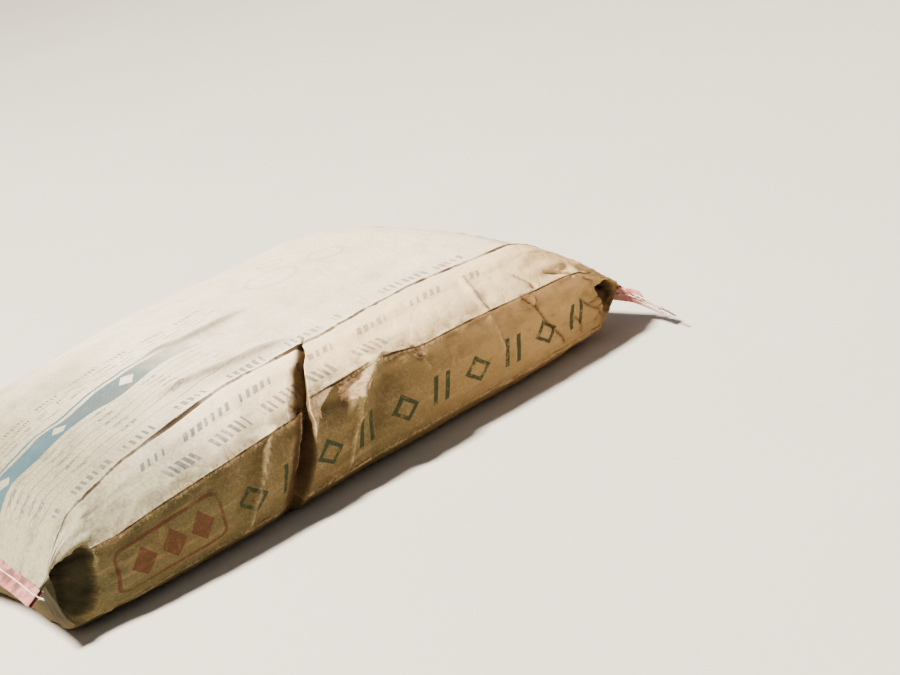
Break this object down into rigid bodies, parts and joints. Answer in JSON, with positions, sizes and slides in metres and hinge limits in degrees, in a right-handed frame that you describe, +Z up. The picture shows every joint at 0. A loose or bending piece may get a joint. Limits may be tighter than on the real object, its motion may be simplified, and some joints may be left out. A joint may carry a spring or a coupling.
{
  "type": "cement sack",
  "caption": "Filled, gusseted paper cement sack lying flat, both ends stitched shut through folded crepe tape, with tucked corners and one deep side wrinkle.",
  "frame": {"origin": "on the floor under the middle of the sack, in the plane of its flat underside", "axes": "+X along the sack toward the end with the tape tail, +Z up, the side with the deep wrinkle faces -Y"},
  "size_m": [0.7236, 0.5253, 0.1476],
  "materials": {
    "kraft_paper": "matte, dusty with cement",
    "crepe_tape": "matte, creped",
    "sewing_thread": "matte"
  },
  "bodies": {
    "root": {"sack": "kraft_paper", "tape_near": "crepe_tape", "tape_far": "crepe_tape", "needle_thread_near": "sewing_thread", "looper_thread_near": "sewing_thread", "needle_thread_far": "sewing_thread", "looper_thread_far": "sewing_thread"}
  },
  "joints": []
}
